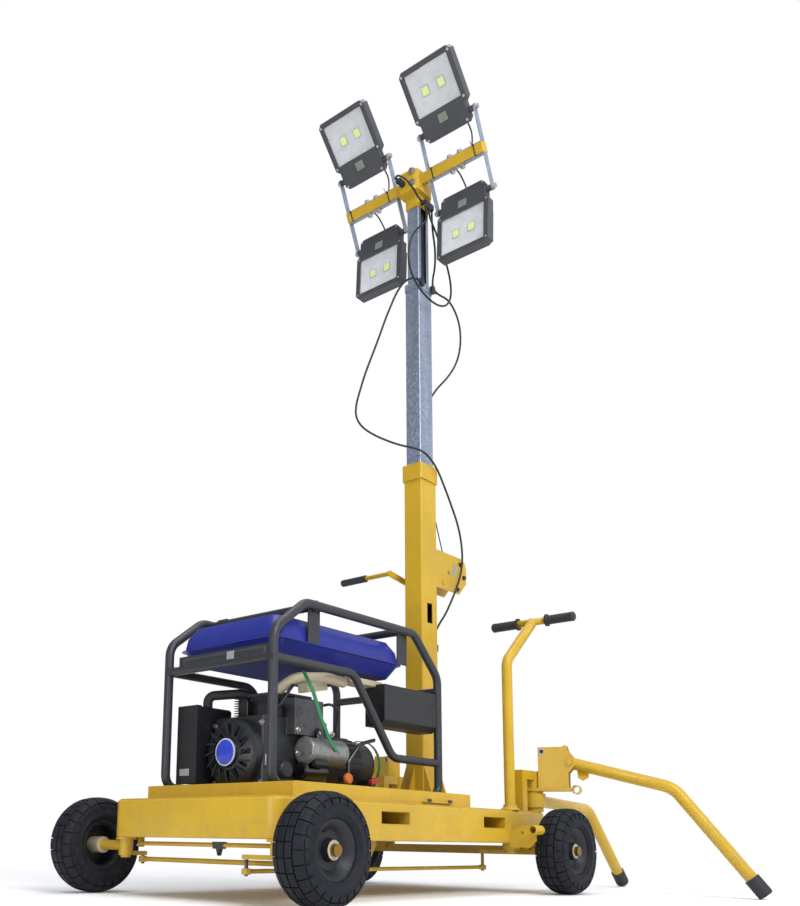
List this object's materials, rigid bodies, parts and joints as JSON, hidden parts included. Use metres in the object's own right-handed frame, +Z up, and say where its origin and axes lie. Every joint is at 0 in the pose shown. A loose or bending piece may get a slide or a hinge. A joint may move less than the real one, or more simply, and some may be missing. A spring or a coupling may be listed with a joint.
{
  "type": "mobile light tower",
  "caption": "Hand-pushed light tower on pneumatic wheels: generator in a tray, winch-raised telescopic mast, tilting floodlights on a crossbar, T-handle steering and fold-out legs.",
  "frame": {"origin": "on the floor, below the middle of the whole machine with its legs out", "axes": "+Z up, +X towards the front beam, +Y towards the side with the steering column"},
  "size_m": [2.5679, 2.3258, 3.5522],
  "materials": {
    "yellow_paint": "glossy safety yellow paint with light wear",
    "black_paint": "semi-gloss black paint",
    "blue_paint": "glossy blue enamel on pressed steel",
    "galvanised": "galvanised sheet steel with a faint spangle",
    "zinc_steel": "zinc-plated steel",
    "rim_paint": "dusty dark paint on pressed steel",
    "tyre": "dusty black rubber",
    "cable_rubber": "satin black rubber sheath",
    "grip_rubber": "matt black rubber",
    "dark_plastic": "moulded black plastic",
    "engine_grey": "cast and painted aluminium",
    "muffler_steel": "dull heat-stained steel",
    "lamp_grey": "die-cast grey powder coat",
    "lamp_glass": "clear toughened glass"
  },
  "bodies": {
    "chassis": {"chassis_frame": "yellow_paint", "fork_pockets": "yellow_paint", "deck_plate": "yellow_paint", "generator_tray": "yellow_paint", "rear_axle": "black_paint", "front_cross_rod": "zinc_steel", "corner_posts": "yellow_paint", "leg_brackets": "yellow_paint", "mast_base": "yellow_paint", "mast_outer": "yellow_paint", "mast_collar": "yellow_paint", "winch_frame": "yellow_paint", "generator_frame": "black_paint", "fuel_tank": "blue_paint", "engine_block": "engine_grey", "recoil_cover": "dark_plastic", "air_filter_box": "dark_plastic", "muffler": "muffler_steel", "alternator": "engine_grey", "control_panel": "dark_plastic", "mast_cable": "cable_rubber", "rear_cable": "cable_rubber"},
    "steering_handle": {"steering_column": "yellow_paint", "steering_grips": "grip_rubber"},
    "near_knuckle": {"knuckle_near": "yellow_paint"},
    "far_knuckle": {"knuckle_far": "yellow_paint"},
    "tie_link": {"tie_rod": "yellow_paint"},
    "drag_link": {"drag_rod": "zinc_steel"},
    "front_near_wheel": {"tyre_front_near": "tyre", "rim_front_near": "rim_paint"},
    "front_far_wheel": {"tyre_front_far": "tyre", "rim_front_far": "rim_paint"},
    "rear_near_wheel": {"tyre_rear_near": "tyre", "rim_rear_near": "rim_paint"},
    "rear_far_wheel": {"tyre_rear_far": "tyre", "rim_rear_far": "rim_paint"},
    "near_leg": {"side_leg_near": "yellow_paint", "side_foot_near": "grip_rubber"},
    "far_leg": {"side_leg_far": "yellow_paint", "side_foot_far": "grip_rubber"},
    "swing_leg": {"rear_leg": "yellow_paint", "rear_foot": "grip_rubber"},
    "first_stage": {"mast_stage_1": "galvanised", "link_cable": "cable_rubber"},
    "second_stage": {"mast_stage_2": "galvanised", "head_block": "yellow_paint", "crossbar": "yellow_paint", "lamp_brackets": "galvanised", "head_cable": "cable_rubber"},
    "crank": {"winch_crank": "yellow_paint", "winch_grip": "dark_plastic"},
    "drum": {"winch_drum": "zinc_steel"},
    "upper_near_lamp": {"lamp_housing_upper_near": "lamp_grey", "lamp_glass_upper_near": "lamp_glass"},
    "upper_far_lamp": {"lamp_housing_upper_far": "lamp_grey", "lamp_glass_upper_far": "lamp_glass"},
    "lower_near_lamp": {"lamp_housing_lower_near": "lamp_grey", "lamp_glass_lower_near": "lamp_glass"},
    "lower_far_lamp": {"lamp_housing_lower_far": "lamp_grey", "lamp_glass_lower_far": "lamp_glass"}
  },
  "joints": [
    {"name": "steering", "type": "hinge", "parent": "chassis", "child": "steering_handle", "pos_m": [-0.222, 0.355, 0.165], "axis": [0, 0, 1], "range_deg": [-22, 22]},
    {"name": "near_knuckle_turn", "type": "hinge", "parent": "chassis", "child": "near_knuckle", "pos_m": [1.1195, 0.355, 0.165], "axis": [0, 0, 1], "range_deg": [-22, 22]},
    {"name": "far_knuckle_turn", "type": "hinge", "parent": "chassis", "child": "far_knuckle", "pos_m": [1.1195, -0.355, 0.165], "axis": [0, 0, 1], "range_deg": [-22, 22]},
    {"name": "tie_rod_pivot", "type": "hinge", "parent": "near_knuckle", "child": "tie_link", "pos_m": [1.0445, 0.355, 0.119], "axis": [0, 0, 1], "range_deg": [-22, 22]},
    {"name": "drag_rod_pivot", "type": "hinge", "parent": "steering_handle", "child": "drag_link", "pos_m": [-0.222, 0.225, 0.096], "axis": [0, 0, 1], "range_deg": [-22, 22]},
    {"name": "front_near_wheel_spin", "type": "hinge", "parent": "near_knuckle", "child": "front_near_wheel", "pos_m": [1.1195, 0.526, 0.165], "axis": [0, 1, 0], "continuous": true},
    {"name": "front_far_wheel_spin", "type": "hinge", "parent": "far_knuckle", "child": "front_far_wheel", "pos_m": [1.1195, -0.526, 0.165], "axis": [0, 1, 0], "continuous": true},
    {"name": "rear_near_wheel_spin", "type": "hinge", "parent": "chassis", "child": "rear_near_wheel", "pos_m": [-0.3455, 0.526, 0.165], "axis": [0, 1, 0], "continuous": true},
    {"name": "rear_far_wheel_spin", "type": "hinge", "parent": "chassis", "child": "rear_far_wheel", "pos_m": [-0.3455, -0.526, 0.165], "axis": [0, 1, 0], "continuous": true},
    {"name": "near_leg_fold", "type": "hinge", "parent": "chassis", "child": "near_leg", "pos_m": [-0.4821, 0.48941, 0.52], "axis": [0.9494, 0.314, 0], "range_deg": [0, 95]},
    {"name": "far_leg_fold", "type": "hinge", "parent": "chassis", "child": "far_leg", "pos_m": [-0.4821, -0.48941, 0.52], "axis": [-0.9494, 0.314, 0], "range_deg": [0, 95]},
    {"name": "rear_leg_swing", "type": "hinge", "parent": "chassis", "child": "swing_leg", "pos_m": [-0.435, 0.347, 0.366], "axis": [0, 0, 1], "range_deg": [0, 60]},
    {"name": "first_stage_slide", "type": "slide", "parent": "chassis", "child": "first_stage", "axis": [0, 0, 1], "range_m": [-0.824, 0.235], "deforming": ["mast_cable", "rear_cable"]},
    {"name": "second_stage_slide", "type": "slide", "parent": "first_stage", "child": "second_stage", "axis": [0, 0, 1], "range_m": [-0.368, 0.45], "deforming": ["link_cable"]},
    {"name": "crank_turn", "type": "hinge", "parent": "chassis", "child": "crank", "pos_m": [-0.245, 0, 1.309], "axis": [0, 1, 0], "continuous": true},
    {"name": "drum_turn", "type": "hinge", "parent": "chassis", "child": "drum", "pos_m": [-0.291, 0, 1.365], "axis": [0, 1, 0], "continuous": true},
    {"name": "upper_near_lamp_tilt", "type": "hinge", "parent": "second_stage", "child": "upper_near_lamp", "pos_m": [-0.03267, 0.232, 3.33548], "axis": [0, 1, 0], "range_deg": [-45, 45]},
    {"name": "upper_far_lamp_tilt", "type": "hinge", "parent": "second_stage", "child": "upper_far_lamp", "pos_m": [-0.03267, -0.232, 3.33548], "axis": [0, 1, 0], "range_deg": [-45, 45]},
    {"name": "lower_near_lamp_tilt", "type": "hinge", "parent": "second_stage", "child": "lower_near_lamp", "pos_m": [-0.16933, 0.232, 3.02852], "axis": [0, 1, 0], "range_deg": [-45, 45]},
    {"name": "lower_far_lamp_tilt", "type": "hinge", "parent": "second_stage", "child": "lower_far_lamp", "pos_m": [-0.16933, -0.232, 3.02852], "axis": [0, 1, 0], "range_deg": [-45, 45]}
  ],
  "couplings": [
    {"joint": "near_knuckle_turn", "follows": "steering", "ratio": 1},
    {"joint": "far_knuckle_turn", "follows": "steering", "ratio": 1},
    {"joint": "tie_rod_pivot", "follows": "steering", "ratio": -1},
    {"joint": "drag_rod_pivot", "follows": "steering", "ratio": -1},
    {"joint": "drum_turn", "follows": "crank_turn", "ratio": -0.25}
  ]
}
